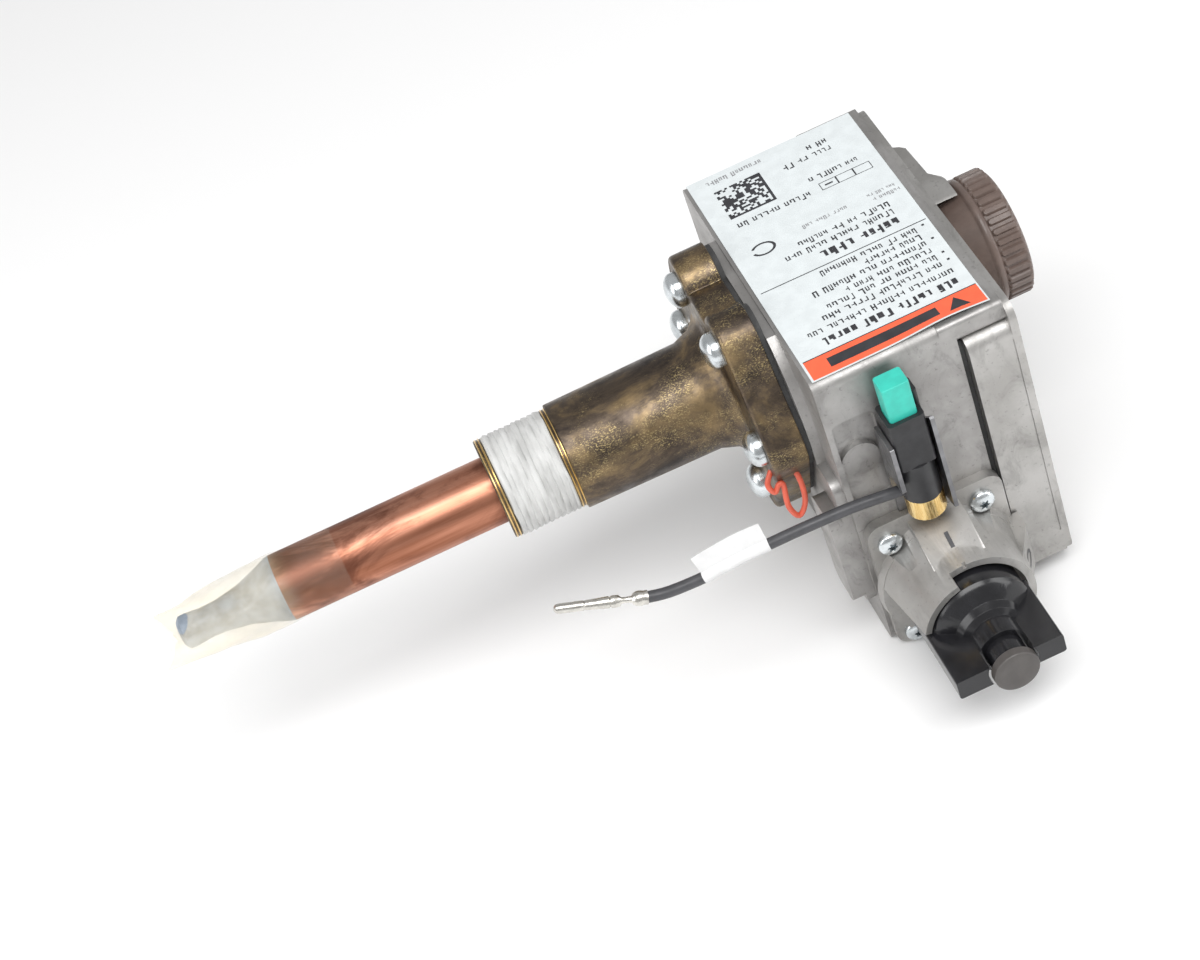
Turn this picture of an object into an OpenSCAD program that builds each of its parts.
// Gas control valve of a storage water heater, with its immersion thermostat,
// temperature dial, gas knob with reset button, and piezo igniter.
// X runs along the immersion shank towards the dial, -Y towards the gas knob,
// +Z out of the labelled face. The origin is the inner end of the shank's thread.

/* [Valve body] */
// Distance from the thread's inner end to the body's back face
back_x = 57.5; // [56:0.5:59]
// Depth of the body casting along the shank axis
body_depth = 37; // [36.5:0.5:38]
// Face that carries the gas knob
knob_face_y = -45; // [-46:0.5:-44.5]
// Face with the gas and thermocouple outlets
outlet_face_y = 47; // [46.5:0.5:48]
// Face the valve rests on, where the gas comes in
floor_z = -66; // [-68:0.5:-66]
// Face that carries the label
label_z = 27; // [26.5:0.5:29]

/* [Front cover] */
// Depth of the cover, from the gasket to its front face
cover_depth = 13.5; // [13:0.5:15]
// Thickness of the gasket between the body and the cover
gasket_t = 1.5; // [1:0.1:1.8]
// Distance of the dial's axis from the shank axis
dial_y = 9; // [8.6:0.1:9.4]
// Radius of the dial's grip
dial_r = 17.5; // [17.2:0.1:17.8]

/* [Immersion shank] */
// Radius over the tank thread
thread_r = 13.335; // [13:0.005:13.5]
// Length of the tank thread
thread_l = 20; // [19:0.5:21]
// Radius of the plain brass shank
shank_r = 14.3; // [14:0.1:15]
// Radius of the flange's screw circle
flange_pcr = 27; // [26.5:0.1:27.5]
// Radius of the lobe round each flange screw
lobe_r = 8.5; // [8:0.1:9]
// Thickness of the flange
flange_t = 9.5; // [8:0.5:10]
// Outer radius of the copper sensor tube
tube_r = 8.95; // [8.7:0.05:9.1]
// Length of bare copper tube beyond the thread
tube_l = 59; // [50:1:70]

/* [Gas knob] */
// Distance of the knob's axis from the body's back face
knob_from_back = 19; // [18.5:0.1:19.5]
// Height of the knob's axis
knob_z = -45.5; // [-45.8:0.1:-45]
// Distance from the knob's axis to the end of a grip wing
wing_r = 15; // [14:0.5:15.5]

/* [Igniter] */
// Distance of the igniter's axis from the body's back face
igniter_from_back = 17.5; // [17:0.1:18]
// Distance of the igniter's axis from the shank axis
igniter_y = -51; // [-51.2:0.1:-51]
// Diameter of the high-voltage lead
lead_d = 3; // [2.6:0.1:3.2]

/* [Hidden] */
$fn = 64;
seam_x = back_x + body_depth;
cover_x = seam_x + gasket_t;
front_x = cover_x + cover_depth;
lid_x = front_x - 2;
cover_low = [knob_face_y - 2, -62];
cover_high = [outlet_face_y + 1.5, label_z - 1];
wall_low_z = label_z - 6;
flange_x = back_x - 4 - flange_t;
flange_back_x = back_x - 4;
knob_x = back_x + knob_from_back;
plate_y = knob_face_y - 3;
stop_y = plate_y - 2.5;
rim_low_y = -65;
rim_high_y = -69.5;
wing_top_y = -87;
button_top_y = -89.3;
button_cap_y = -86.5;
button_collar_y = -71.8;
post_top_y = -81;
cock_top_y = -35.5;
collar_cut_z = 18.5;
screw_sink = 2.3;
tape_end = -1.7;
igniter_x = back_x + igniter_from_back;
lever_x = cover_x + 3.5;
valve_y = 26;
regulator_at = [28, -32];
outlet_z = -19;
pilot_at = [back_x + 6.5, -28];
inlet_y = 14;
inlet_r = 9.1;
screen_r = 5.5;
chamber_r = 9.5;
plug_r = 9;
fit_gap = 0.05;
wire_r = 0.5;

// Shroud and cover screws, as pairs across their face
shroud_screws_at = [for (x = [6.3, 31.7], z = [-28.5, -61.5]) [back_x + x, z]];
cover_screws_at = [[-40, -55], [41, -55], [-41.5, 14], [41, 14]];

// Route of the igniter lead, from the igniter to its terminal
lead_route = [[70.3, -51, -10.5], [64, -51, -9.5], [56, -51, -8.5], [43, -50.5, -8.5],
              [35, -49.5, -9.5], [28.5, -48.5, -10.5], [21.5, -47.5, -12], [17.5, -46.5, -13.5],
              [8.5, -45, -14.5], [3, -44, -14]];
terminal_end = [-19.5, -41, -7];
// Route of the cut-off wires, tucked under the flange
cutoff_route = [[49.5, -31, -7.2], [50, -32.5, -12], [49.3, -33, -18], [46.8, -33, -21.5],
                [45, -33, -17], [45.6, -32, -10.5], [44.6, -32, -9.6], [43, -32, -11.5],
                [42, -31.5, -8.5], [44.2, -30, -6]];

// ---- shapes ----

// Round bars along each axis, from one end to the other
module xbar(x0, x1, r, y = 0, z = 0) translate([x0, y, z]) rotate([0, 90, 0]) cylinder(r = r, h = x1 - x0);
module ybar(y0, y1, r, x, z) translate([x, y0, z]) rotate([-90, 0, 0]) cylinder(r = r, h = y1 - y0);
module zbar(z0, z1, r, x, y) translate([x, y, z0]) cylinder(r = r, h = z1 - z0);

// Rectangle with true round corners
module round_rect(low, high, r) {
    translate([low[0] + r, low[1]]) square([high[0] - low[0] - 2 * r, high[1] - low[1]]);
    translate([low[0], low[1] + r]) square([high[0] - low[0], high[1] - low[1] - 2 * r]);
    for (x = [low[0] + r, high[0] - r], y = [low[1] + r, high[1] - r]) translate([x, y]) circle(r);
}

// Slabs whose corners are round in the plane across each axis
module xslab(x0, x1, low, high, r)
    translate([x0, 0, 0]) rotate([90, 0, 90]) linear_extrude(x1 - x0) round_rect(low, high, r);
module yslab(y0, y1, low, high, r)
    translate([0, y1, 0]) rotate([90, 0, 0]) linear_extrude(y1 - y0) round_rect(low, high, r);
module zslab(z0, z1, low, high, r)
    translate([0, 0, z0]) linear_extrude(z1 - z0) round_rect(low, high, r);

// Turned shape along X from pairs of radius and distance
module xturned(profile, x = 0, y = 0, z = 0)
    translate([x, y, z]) rotate([0, 90, 0]) rotate_extrude() polygon(profile);
// Turned shape along -Y round the knob's axis, from pairs of radius and height
module knob_turned(profile, y, angle = 360, start = 0)
    translate([knob_x, y, knob_z]) rotate([90, 0, 0]) rotate([0, 0, start])
        rotate_extrude(angle = angle) polygon(profile);

// Pan head screw along +Z with its head's underside at the origin
module pan_screw(head_r, head_h, shaft_r, shaft_l) {
    dome = [for (a = [0:15:90]) [head_r * cos(a), head_h * (0.35 + 0.65 * sin(a))]];
    difference() {
        rotate_extrude() polygon(concat([[0, 0], [head_r, 0]], dome));
        for (turn = [0, 90]) rotate([0, 0, turn])
            translate([-head_r * 0.55, -head_r * 0.11, head_h * 0.55])
                cube([head_r * 1.1, head_r * 0.22, head_h]);
    }
    translate([0, 0, -shaft_l]) cylinder(r = shaft_r, h = shaft_l);
}

function unit(v) = v / norm(v);
function along(p, i) = unit(p[min(i + 1, len(p) - 1)] - p[max(i - 1, 0)]);
function ring(p, i, r, sides, up) =
    let (t = along(p, i), a = unit(cross(t, up)), b = cross(t, a))
    [for (k = [0:sides - 1]) p[i] + r * (cos(360 * k / sides) * a + sin(360 * k / sides) * b)];
function smooth_point(p, i, t) =
    let (a = p[max(i - 1, 0)], b = p[i], c = p[i + 1], d = p[min(i + 2, len(p) - 1)])
    0.5 * (2 * b + (c - a) * t + (2 * a - 5 * b + 4 * c - d) * t * t
           + (3 * b - a - 3 * c + d) * t * t * t);
function smooth_route(p, steps) =
    concat([for (i = [0:len(p) - 2], s = [0:steps - 1]) smooth_point(p, i, s / steps)], [p[len(p) - 1]]);

// Tube swept along a route as one closed solid
module swept_tube(p, r, sides, up) {
    last = (len(p) - 1) * sides;
    polyhedron(
        points = [for (i = [0:len(p) - 1]) each ring(p, i, r, sides, up)],
        faces = concat(
            [[for (k = [0:sides - 1]) k]],
            [for (i = [0:len(p) - 2], k = [0:sides - 1])
                let (n = (k + 1) % sides, a = i * sides, b = a + sides) [a + k, b + k, b + n, a + n]],
            [[for (k = [sides - 1:-1:0]) last + k]]));
}

// Compression spring along +Z, with its wire inside the stated length
module coil(length, coil_r, turns, wire = wire_r) {
    steps = turns * 14;
    swept_tube([for (i = [0:steps])
        [coil_r * cos(i * 360 / 14), coil_r * sin(i * 360 / 14), wire + (length - 2 * wire) * i / steps]],
        wire * 0.98, 5, [0, 0, 1]);
}

// Flange outline across the shank: six lobes, notched at the sides that face the label and the floor
module flange_outline(shrink) {
    function lobe(k) = flange_pcr * [cos(60 * k), sin(60 * k)];
    circle(r = 27.5 - shrink);
    for (k = [0:5]) {
        out = (lobe_r - shrink) * [cos(60 * k + 30), sin(60 * k + 30)];
        translate(lobe(k)) circle(lobe_r - shrink);
        if (k != 1 && k != 4) polygon([lobe(k), lobe(k) + out, lobe(k + 1) + out, lobe(k + 1)]);
    }
}
module flange_slab(x0, x1, shrink = 0)
    translate([x0, 0, 0]) rotate([90, 0, 90]) linear_extrude(x1 - x0) flange_outline(shrink);
module at_flange_screws()
    for (k = [0:5]) translate([0, flange_pcr * cos(60 * k), flange_pcr * sin(60 * k)]) children();
module at_shroud_screws()
    for (p = shroud_screws_at) translate([p[0], 0, p[1]]) children();
module at_cover_screws()
    for (p = cover_screws_at) translate([0, p[0], p[1]]) children();

// ---- body, cover and label ----

module body_passages() {
    xbar(back_x - 3, seam_x + 1, 6);
    xbar(back_x + 4.5, seam_x + 1, chamber_r, valve_y);
    xbar(seam_x - 8.5, seam_x + 1, chamber_r, regulator_at[0], regulator_at[1]);
    ybar(knob_face_y - 1, -14, plug_r + fit_gap, knob_x, knob_z);
    ybar(-15, 9, 5, knob_x, knob_z);
    ybar(8, 24, 11, knob_x, knob_z);
    ybar(23, outlet_face_y + 1, 8, knob_x, knob_z);
    zbar(floor_z - 1, -58, inlet_r, knob_x, inlet_y);
    zbar(-59, -50, screen_r, knob_x, inlet_y);
    zbar(-44, -13, 4.5, knob_x, -25);
    ybar(-25, 20, 3.5, knob_x + 5.5, -15);
    zbar(-15, -6, 3.5, knob_x + 5.5, 20);
    ybar(33, outlet_face_y + 6, 8, knob_x, outlet_z);
    xbar(80, 90, 3, 35, -26);
    ybar(33, outlet_face_y + 6, 4.8, pilot_at[0], pilot_at[1]);
    ybar(14, 34, 1.5, pilot_at[0], pilot_at[1]);
    zbar(-42, pilot_at[1], 1.5, pilot_at[0], 16);
    xbar(pilot_at[0], 74, 1.5, 16, -40);
}

module valve_body() color("#a9a7a4") difference() {
    union() {
        xslab(back_x, seam_x, [knob_face_y, floor_z], [outlet_face_y, label_z], 3);
        xslab(seam_x - 4, lid_x, [knob_face_y, wall_low_z], [outlet_face_y, label_z], 1.5);
        intersection() {
            xbar(back_x - 2.5, back_x + 1, 34);
            xslab(back_x - 3, back_x + 2, [-40, -40], [40, label_z - 0.5], 3);
        }
        xslab(back_x - 2.5, back_x + 1, [knob_face_y + 2, -52], [-12, -8], 4);
        xslab(back_x - 6, back_x + 1, [knob_face_y + 2, -50], [-30, -18], 4);
        ybar(outlet_face_y - 1, outlet_face_y + 4, 12, knob_x, outlet_z);
        ybar(outlet_face_y - 1, outlet_face_y + 4, 6.4, pilot_at[0], pilot_at[1]);
    }
    difference() {
        yslab(knob_face_y - 1, knob_face_y + 2.5, [back_x + 1.5, -16], [back_x + 12.5, 13], 2);
        ybar(knob_face_y + 1, knob_face_y + 3, 5, back_x + 6.5, -2);
    }
    body_passages();
    xslab(back_x + 12.5, seam_x + 1, [-38, -8], [-12, 17], 3);
    at_flange_screws() xbar(back_x - 3, back_x + 4, 2.2);
    at_shroud_screws() ybar(knob_face_y - 1, knob_face_y + 10, 2, 0, 0);
    at_cover_screws() xbar(seam_x - 9, seam_x + 1, 1.6);
}

module cover_gasket() color("#3a3a38") difference() {
    xslab(seam_x, cover_x, [knob_face_y + 1, -60], [outlet_face_y - 1, wall_low_z - 0.4], 4);
    xbar(seam_x - 1, cover_x + 1, 8);
    xbar(seam_x - 1, cover_x + 1, 12, valve_y);
    xbar(seam_x - 1, cover_x + 1, 13.1, regulator_at[0], regulator_at[1]);
    at_cover_screws() xbar(seam_x - 1, cover_x + 1, 1.7);
}

module front_cover() color("#b2b0ad") difference() {
    union() {
        xslab(lid_x, front_x, cover_low, cover_high, 5);
        difference() {
            xslab(cover_x, lid_x + 0.5, cover_low, [cover_high[0], wall_low_z - 0.3], 4);
            xslab(cover_x - 1, lid_x - 0.5, [knob_face_y + 4, -57], [outlet_face_y - 4, 16], 3);
        }
        at_cover_screws() xbar(cover_x, lid_x, 4.5);
        xbar(cover_x + 7, lid_x, 9, dial_y);
        xturned([[6, -0.5], [11, -0.5], [11, 2.6], [10.6, 3], [6, 3]], front_x, dial_y);
        intersection() {
            xturned([[18.2, -0.5], [32.7, -0.5], [32.7, 1.5], [31.5, 3.8], [30.3, 5], [21.5, 5.5],
                     [19.4, 8.4], [18.2, 8.4]], front_x, dial_y);
            xslab(front_x - 1, front_x + 9, [6, -14], [45, collar_cut_z], 3);
        }
        for (turn = [255:15:300]) translate([front_x, dial_y, 0]) rotate([turn, 0, 0])
            translate([4.4, 0, 26]) rotate([0, 90, 0]) cylinder(r = 0.9, h = 1.6);
    }
    at_cover_screws() xbar(front_x - screw_sink, front_x + 1, 3.7);
    xbar(cover_x - 1, front_x + 7, 6, dial_y);
    xbar(lid_x - 2, front_x + 1, 6, regulator_at[0], regulator_at[1]);
    at_cover_screws() xbar(cover_x - 1, front_x + 1, 1.8);
    translate([lid_x - 0.4, cover_low[0] - 1, -52]) cube([0.4, 1.3, 68]);
}

module cover_screws() color("#c4c6c8") at_cover_screws()
    translate([front_x - screw_sink, 0, 0]) rotate([0, 90, 0]) pan_screw(3.2, 2.1, 1.5, 20);

module label() color("#eef2f2")
    zslab(label_z, label_z + 0.25, [back_x + 1, knob_face_y + 1.7],
        [back_x + 47.8, outlet_face_y - 1.5], 1.5);

// ---- immersion shank and sensor ----

module shank_gasket() color("#2f2f2e") difference() {
    flange_slab(flange_back_x, back_x - 2.5, 1.2);
    xbar(flange_back_x - 1, back_x, 9);
    at_flange_screws() xbar(flange_back_x - 1, back_x, 2.4);
}

module shank() color("#6b5a35") difference() {
    union() {
        flange_slab(flange_x, flange_back_x);
        xturned([[0, 0], [shank_r, 0], [shank_r + 0.4, flange_x - 7], [shank_r + 2, flange_x - 2.5],
                 [shank_r + 4.5, flange_x], [0, flange_x + 1]]);
        xturned([[0, -thread_l], [thread_r, -thread_l], [thread_r, 2 - thread_l], [12.9, 2 - thread_l],
                 [12.9, tape_end], [thread_r, tape_end], [thread_r, 0.5], [0, 0.5]]);
    }
    xbar(-thread_l - 1, flange_back_x + 1, 8.1);
    xbar(-thread_l - 1, -6, tube_r);
    at_flange_screws() xbar(flange_x - 1, flange_back_x + 1, 2.3);
}

module flange_screws() color("#c4c6c8") at_flange_screws()
    translate([flange_x, 0, 0]) rotate([0, -90, 0]) pan_screw(4.8, 4.2, 2.1, 16);

module thread_tape() color("#f2f2ef") difference() {
    xbar(2 - thread_l, tape_end, thread_r);
    xbar(-thread_l, 0, 12.9);
}

module sensor_tube() color("#b87862") difference() {
    xbar(-thread_l - tube_l, -6, tube_r);
    xbar(-thread_l - tube_l - 1, -5, 8.2);
}

module sensor_tip() color("#5d6468")
    xturned([[0, -28], [3.2, -28], [4.4, -27], [4.5, -25.5], [4.1, -21], [4.2, -17], [5.3, -10.5],
             [7.4, -4.5], [8.7, -1.2], [tube_r, 0], [8.15, 0], [8.15, 5], [0, 5]], -thread_l - tube_l);

// Sleeve of film, round over the tube and pressed flat at its open end. Each station is
// its distance from the tube's end, half width and half height.
film_stations = [[17, 9.35, 9.35], [2, 9.35, 9.35], [-4, 9.35, 9.35], [-12, 9.4, 8.5],
                 [-20, 9.4, 7], [-28.6, 9.3, 5.3], [-32, 9, 2.8], [-34.3, 8.6, 0.85]];
film_rows = len(film_stations);
film_sides = 36;
film_t = 0.25;
function film_skin(inset) = [for (s = film_stations, k = [0:film_sides - 1])
    [s[0] - thread_l - tube_l, (s[1] - inset) * cos(360 * k / film_sides),
     (s[2] - inset) * sin(360 * k / film_sides)]];
// Quads between two rings of points, facing out or in
function band(a, b) = [for (k = [0:film_sides - 1])
    let (n = (k + 1) % film_sides) [a + k, b + k, b + n, a + n]];
module protective_film() color("#e6dcc0") {
    inner = film_rows * film_sides;
    last = (film_rows - 1) * film_sides;
    polyhedron(
        points = concat(film_skin(0), film_skin(film_t)),
        faces = concat(
            [for (i = [0:film_rows - 2]) each band(i * film_sides, (i + 1) * film_sides)],
            [for (i = [0:film_rows - 2]) each band(inner + (i + 1) * film_sides, inner + i * film_sides)],
            band(inner, 0),
            band(last, inner + last)));
}

module sensor_rod() color("#9a9ca0") xbar(-thread_l - tube_l + 5.3, lever_x - 0.6, 2.4);
module cutoff_fuse() color("#d8d2c4") xbar(20, 42, 2.2, 0, -5.4);
module cutoff_wires() color("#d0583f") swept_tube(smooth_route(cutoff_route, 4), 0.75, 6, [0, 1, 0.1]);

// ---- dial, lever, main valve and regulator ----

module temperature_dial() color("#5e504a") difference() {
    groups = 4;
    ribs = 10;
    pitch = 360 / groups / (ribs + 1);
    union() {
        xturned([[0, -2.6], [8, -2.6], [8, -0.6], [13.2, -0.6], [13.2, -6], [14.6, -6], [15.2, -5.4],
                 [dial_r - 0.9, 0], [dial_r - 0.3, 0.7], [dial_r - 0.3, 2.3], [dial_r - 0.9, 2.9],
                 [dial_r - 0.9, 9.3], [dial_r - 1.7, 9.9], [13, 9.9], [13, 8.4], [0, 8.4]],
                front_x + 9.2, dial_y);
        for (group = [0:groups - 1], i = [1:ribs])
            translate([front_x + 11.9, dial_y, 0]) rotate([group * 360 / groups + i * pitch, 0, 0])
                translate([0, -0.85, dial_r - 1.6]) cube([6.4, 1.7, 1.6]);
        translate([front_x + 17.2, dial_y - 12.6, -2.2]) cube([2.2, 25.2, 4.4]);
    }
    xbar(front_x + 5, front_x + 12.3, 3.55, dial_y);
}

module adjusting_screw() color("#c9a24b") {
    xbar(lever_x + 3.2, front_x + 11, 3.5, dial_y);
    xturned([[0, 0], [1.1, 0], [3, 0.9], [0, 0.9]], lever_x + 2.4, dial_y);
}

module screw_bushing() color("#b08a3c") difference() {
    xbar(cover_x + 6, front_x + 4.5, 6, dial_y);
    xbar(cover_x + 5, front_x + 5, 3.5 + fit_gap, dial_y);
}

// Flat lever with a round rib that rocks on the adjusting screw's tip
module thermostat_lever() color("#8d9196") {
    zslab(-4, 4, [lever_x, -6], [lever_x + 1.5, 32], 0.5);
    zbar(-4, 4, 0.8, lever_x + 1.5, dial_y);
}

// Poppet on a stem that opens away from its seat, towards the back
module main_valve() color("#a7abae") {
    xbar(seam_x - 9.5, seam_x - 7.2, 7.4, valve_y);
    xbar(seam_x - 7.2, lever_x - 0.3, 1.5, valve_y);
}
module valve_pad() color("#2b2b2b") difference() {
    xbar(seam_x - 7.2, seam_x - 4.55, 7.4, valve_y);
    xbar(seam_x - 8, seam_x - 4, 1.5, valve_y);
}
module snap_disc() color("#b9bcc0") difference() {
    xturned([[1.5, 0.5], [5, 0.5], [9, 0], [9, 0.5], [5, 1], [1.5, 1]], lever_x - 2.1, valve_y);
    xbar(seam_x, lever_x, 1.5, valve_y);
}
module main_spring() color("#c4c6c8")
    translate([back_x + 4.5, valve_y, 0]) rotate([0, 90, 0]) coil(seam_x - 9.5 - back_x - 4.5, 5.2, 7);

module seat_ring(x, y, z, bore) difference() {
    xbar(x, seam_x, chamber_r, y, z);
    xbar(x - 1, seam_x + 1, bore, y, z);
}
module main_seat() color("#b08a3c") seat_ring(seam_x - 4.5, valve_y, 0, 5);

module regulator_seat() color("#b08a3c") {
    seat_ring(seam_x - 3.5, regulator_at[0], regulator_at[1], 4.5);
    difference() {
        xbar(seam_x, seam_x + 3.1, 13, regulator_at[0], regulator_at[1]);
        xbar(seam_x + 1, seam_x + 4, 10, regulator_at[0], regulator_at[1]);
        xbar(seam_x - 1, seam_x + 2, 4.5, regulator_at[0], regulator_at[1]);
    }
}
module regulator_valve() color("#a7abae") {
    xbar(seam_x - 6.3, seam_x - 3.55, 6.5, regulator_at[0], regulator_at[1]);
    xbar(seam_x - 3.6, seam_x + 4, 1.3, regulator_at[0], regulator_at[1]);
    xbar(seam_x + 3.9, seam_x + 4.9, 8, regulator_at[0], regulator_at[1]);
}
module regulator_diaphragm() color("#33302e") difference() {
    xbar(seam_x + 3.1, seam_x + 3.9, 13, regulator_at[0], regulator_at[1]);
    xbar(seam_x + 3, seam_x + 4, 1.3, regulator_at[0], regulator_at[1]);
}
module regulator_ring() color("#a7abae") difference() {
    xbar(seam_x + 3.9, seam_x + 6, 13, regulator_at[0], regulator_at[1]);
    xbar(seam_x + 3, seam_x + 7, 10, regulator_at[0], regulator_at[1]);
}
module regulator_spring() color("#c4c6c8")
    translate([seam_x + 4.9, regulator_at[0], regulator_at[1]]) rotate([0, 90, 0])
        coil(lid_x - seam_x - 6.4, 4.6, 4);
module regulator_cap() color("#8f9396") difference() {
    union() {
        xbar(lid_x - 1.5, front_x, 5.95, regulator_at[0], regulator_at[1]);
        xbar(front_x, front_x + 2.2, 7.5, regulator_at[0], regulator_at[1]);
    }
    translate([front_x + 1.2, regulator_at[0] - 6, regulator_at[1] - 0.8]) cube([2, 12, 1.6]);
}

// ---- gas knob, cock, reset button and flame safety valve ----

module inlet_screen() color("#9da1a4") difference() {
    zbar(-57.8, -56.8, screen_r, knob_x, inlet_y);
    for (x = [-3:2:3], y = [-3:2:3]) zbar(-58, -56, 0.7, knob_x + x, inlet_y + y);
}

// Raised flat on the shroud for a position mark, facing +Z before it is turned
module mark_flat(turn)
    translate([knob_x, 0, knob_z]) rotate([0, turn, 0]) rotate([90, 0, 90])
        translate([0, 0, -7]) linear_extrude(14)
            polygon([[plate_y + 0.5, 12], [plate_y + 0.5, 21], [-53, 20.7], [-62, 15.6], [-62, 12]]);

// Wedge round the knob's axis between two angles, outward from a height
module knob_wedge(y, from, to) {
    corners = [for (i = [0:4]) let (a = from + (to - from) * i / 4) 45 * [cos(a), sin(a)]];
    translate([knob_x, y, knob_z]) rotate([90, 0, 0]) linear_extrude(30)
        polygon(concat([[0, 0]], corners));
}

module knob_shroud() color("#b4b2af") difference() {
    union() {
        yslab(plate_y, knob_face_y, [back_x + 1, floor_z + 0.5], [back_x + 38, -22], 4);
        knob_turned([[7, 0], [19.5, 0], [19, plate_y - stop_y], [7, plate_y - stop_y]], plate_y);
        difference() {
            knob_turned([[12, 0], [19.2, 0], [15.7, plate_y - rim_high_y], [12, plate_y - rim_high_y]],
                plate_y, 360, 225);
            knob_wedge(rim_low_y, -75, 105);
            knob_wedge(stop_y + 1, 165, 290);
        }
        mark_flat(0);
        mark_flat(90);
    }
    knob_turned([[0, 0], [16.2, 0], [14, 17.5], [14, 25], [0, 25]], stop_y, 360, 225);
    ybar(stop_y - 1, knob_face_y + 1, 7, knob_x, knob_z);
    translate([knob_x - 0.4, rim_low_y - 1, knob_z + 15.2]) cube([0.8, 1.8, 3]);
    yslab(knob_face_y - 1.05, knob_face_y + 1, [igniter_x - 6.2, -30.2], [igniter_x + 6.6, -21], 0.5);
    at_shroud_screws() ybar(plate_y - 1, knob_face_y + 1, 2, 0, 0);
    at_shroud_screws() ybar(plate_y - 9, plate_y, 3.7, 0, 0);
}

module shroud_screws() color("#c4c6c8") at_shroud_screws()
    translate([0, plate_y, 0]) rotate([90, 0, 0]) pan_screw(3.4, 2.3, 1.9, 10);

module gas_knob() color("#232325") difference() {
    union() {
        knob_turned([[0, -12.5], [6.4, -12.5], [6.4, 12], [13.2, 12], [13.2, 21], [12.4, 22.2], [9, 24.5],
                     [8.2, 26.5], [6.6, 27.5], [6.6, plate_y - post_top_y], [0, plate_y - post_top_y]],
            plate_y);
        yslab(wing_top_y, rim_low_y - 0.6, [knob_x, knob_z - 3], [knob_x + wing_r - 1.2, knob_z + 3], 0.8);
        yslab(wing_top_y, stop_y - 1.5, [knob_x - wing_r, knob_z - 3], [knob_x, knob_z + 3], 0.8);
    }
    ybar(wing_top_y - 1, post_top_y, 6.7, knob_x, knob_z);
    ybar(post_top_y - 1, -73.4, 5.05, knob_x, knob_z);
    ybar(-73.5, cock_top_y + 1, 5.35, knob_x, knob_z);
}

module cock_plug() color("#b08a3c") difference() {
    ybar(cock_top_y, -15.5, plug_r, knob_x, knob_z);
    ybar(-36, -15, 4, knob_x, knob_z);
    xbar(knob_x, knob_x + 10, 3.5, -25, knob_z);
}

module plug_spring() color("#c4c6c8")
    translate([knob_x, cock_top_y, knob_z]) rotate([90, 0, 0]) coil(cock_top_y - 0.1 - knob_face_y, 7.7, 3);

module pilot_button() color("#3c3936") {
    ybar(button_top_y, button_cap_y, 6, knob_x, knob_z);
    ybar(button_cap_y - 0.5, button_collar_y, 5, knob_x, knob_z);
    ybar(-73.3, button_collar_y, 5.25, knob_x, knob_z);
    ybar(button_collar_y - 0.5, -28, 3, knob_x, knob_z);
}

module button_spring() color("#c4c6c8")
    translate([knob_x, cock_top_y, knob_z]) rotate([90, 0, 0])
        coil(cock_top_y - button_collar_y, 4.6, 12);

module safety_valve() color("#a7abae") {
    ybar(-27.7, 18.8, 1.5, knob_x, knob_z);
    ybar(10.3, 11.6, 8, knob_x, knob_z);
}
module safety_pad() color("#2b2b2b") difference() {
    ybar(8.05, 10.3, 8, knob_x, knob_z);
    ybar(8, 11, 1.5, knob_x, knob_z);
}
module safety_armature() color("#7c8086") ybar(18.8, 20.3, 4.8, knob_x, knob_z);
module safety_spring() color("#c4c6c8")
    translate([knob_x, 11.6, knob_z]) rotate([-90, 0, 0]) coil(12.4, 6.3, 5);

module safety_magnet() color("#c9a24b") difference() {
    union() {
        ybar(24, outlet_face_y, 8, knob_x, knob_z);
        translate([knob_x, outlet_face_y, knob_z]) rotate([-90, 0, 0]) cylinder(r = 9.8, h = 10.5, $fn = 6);
    }
    ybar(23, 25.6, 5.2, knob_x, knob_z);
    ybar(outlet_face_y + 0.5, outlet_face_y + 11, 4.2, knob_x, knob_z);
}

// ---- piezo igniter and its lead ----

module igniter_body() color("#2a2b2d") difference() {
    union() {
        zslab(-1, 14.5, [igniter_x - 4.8, -55.5], [igniter_x + 4.8, -46.4], 1);
        zbar(-13, -1, 5, igniter_x, igniter_y);
        zslab(8, 19, [igniter_x + 4, -51.5], [igniter_x + 5.3, -46.4], 0.6);
    }
    zslab(2.4, 15, [igniter_x - 3.75, igniter_y - 3.25], [igniter_x + 3.75, igniter_y + 3.25], 0.9);
    zbar(-12.5, 3, 2.8, igniter_x, igniter_y);
}

module igniter_button() color("#43c2ae")
    zslab(7, 25, [igniter_x - 3.6, igniter_y - 3.1], [igniter_x + 3.6, igniter_y + 3.1], 0.8);
module igniter_spring() color("#c4c6c8")
    translate([igniter_x, igniter_y, 1]) coil(6, 2.1, 6, 0.3);
module igniter_hammer() color("#8d9196") zbar(-4, 1, 2.6, igniter_x, igniter_y);
module igniter_crystal() color("#d9d6cc") zbar(-12.5, -6.8, 2.6, igniter_x, igniter_y);
module igniter_collar() color("#c99a52") difference() {
    zbar(-19.3, -13, 4.95, igniter_x, igniter_y);
    zbar(-20, -14.5, 1.8, igniter_x, igniter_y);
}

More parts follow.
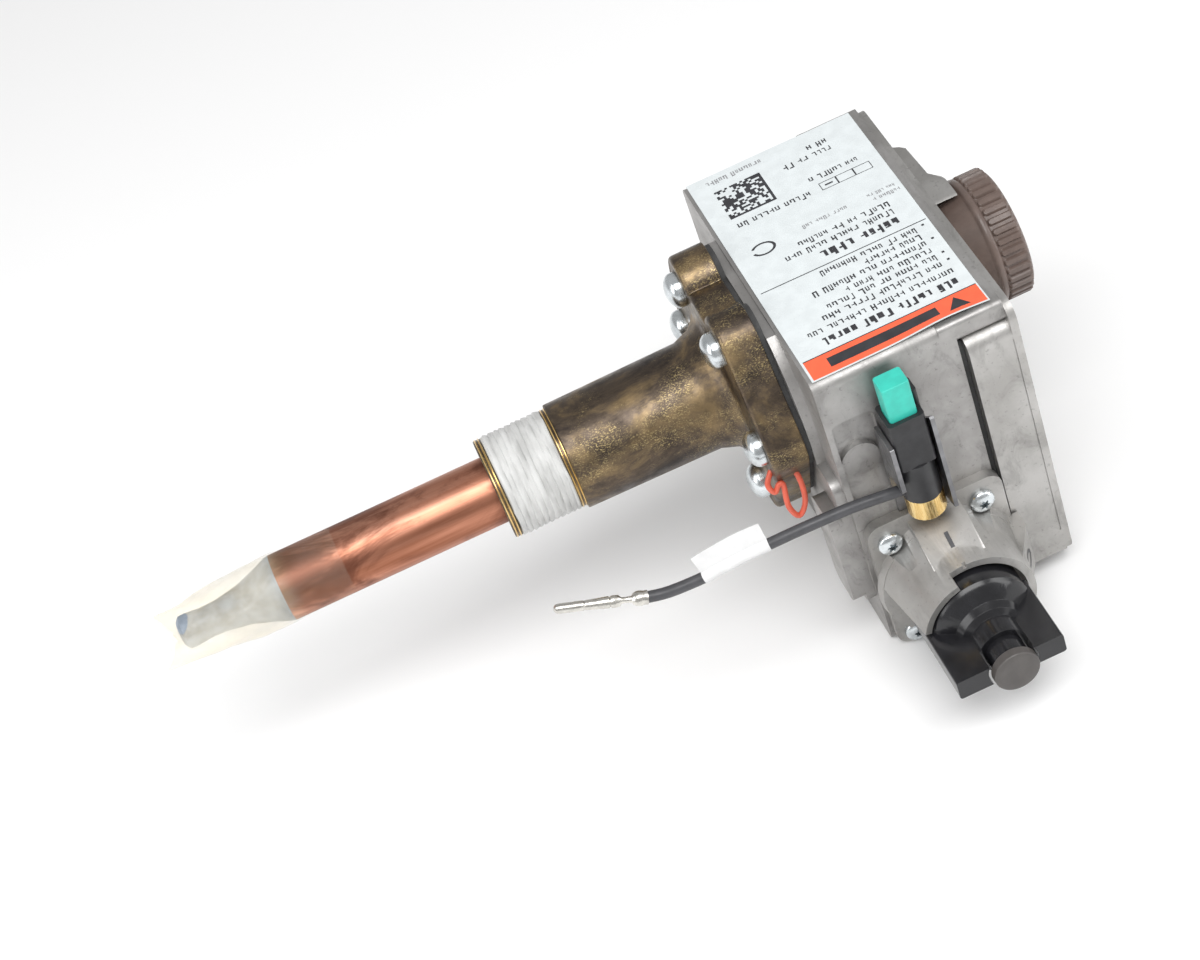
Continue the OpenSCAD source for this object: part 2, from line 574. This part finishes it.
module igniter_bracket() color("#8f9296") {
    yslab(knob_face_y - 1, knob_face_y, [igniter_x - 6.1, -30], [igniter_x + 6.5, 5], 0.5);
    xslab(igniter_x - 6.1, igniter_x - 5, [-56, -7], [knob_face_y - 0.5, 8], 0.5);
    translate([igniter_x + 5.4, 0, 0]) rotate([90, 0, 90]) linear_extrude(1.1)
        polygon([[knob_face_y - 0.5, -21], [knob_face_y - 0.5, 4], [-55.4, 12.5], [-56, 12.2], [-56, -18.6]]);
}

module ignition_lead() color("#3f4042") swept_tube(smooth_route(lead_route, 3), lead_d / 2, 8, [0, 0, 1]);

// Turns +X to point from one point to another
module point_along(from, to) {
    d = to - from;
    translate(from) rotate([0, -atan2(d[2], norm([d[0], d[1]])), atan2(d[1], d[0])]) children();
}

module lead_tag() color("#eceeed") point_along(lead_route[7], lead_route[4]) difference() {
    union() {
        rotate([0, 90, 0]) cylinder(r = 1.9, h = 18.4);
        translate([0, -0.4, 0]) cube([18.4, 0.8, 6.5]);
    }
    translate([-1, 0, 0]) rotate([0, 90, 0]) cylinder(r = lead_d / 2 + 0.05, h = 21);
}

module lead_terminal() color("#c8c8c4") point_along(lead_route[9], terminal_end) {
    rotate([0, 90, 0]) cylinder(r = 1.9, h = 4.2);
    translate([4, 0, 0]) rotate([0, 90, 0]) cylinder(r = 1.1, h = 5);
    translate([8.5, 0, 0]) rotate([0, 90, 0]) cylinder(r = 1.6, h = 1.2);
    translate([9.6, 0, 0]) rotate([0, 90, 0]) cylinder(r = 1.25, h = 10);
    translate([19.6, 0, 0]) rotate([0, 90, 0]) cylinder(r1 = 1.25, r2 = 0.5, h = 3.8);
}

valve_body();
cover_gasket();
front_cover();
cover_screws();
label();
shank_gasket();
shank();
flange_screws();
thread_tape();
sensor_tube();
sensor_tip();
protective_film();
sensor_rod();
cutoff_fuse();
cutoff_wires();
temperature_dial();
adjusting_screw();
screw_bushing();
thermostat_lever();
main_valve();
valve_pad();
snap_disc();
main_spring();
main_seat();
regulator_seat();
regulator_valve();
regulator_diaphragm();
regulator_ring();
regulator_spring();
regulator_cap();
inlet_screen();
knob_shroud();
shroud_screws();
gas_knob();
cock_plug();
plug_spring();
pilot_button();
button_spring();
safety_valve();
safety_pad();
safety_armature();
safety_spring();
safety_magnet();
igniter_body();
igniter_button();
igniter_spring();
igniter_hammer();
igniter_crystal();
igniter_collar();
igniter_bracket();
ignition_lead();
lead_tag();
lead_terminal();
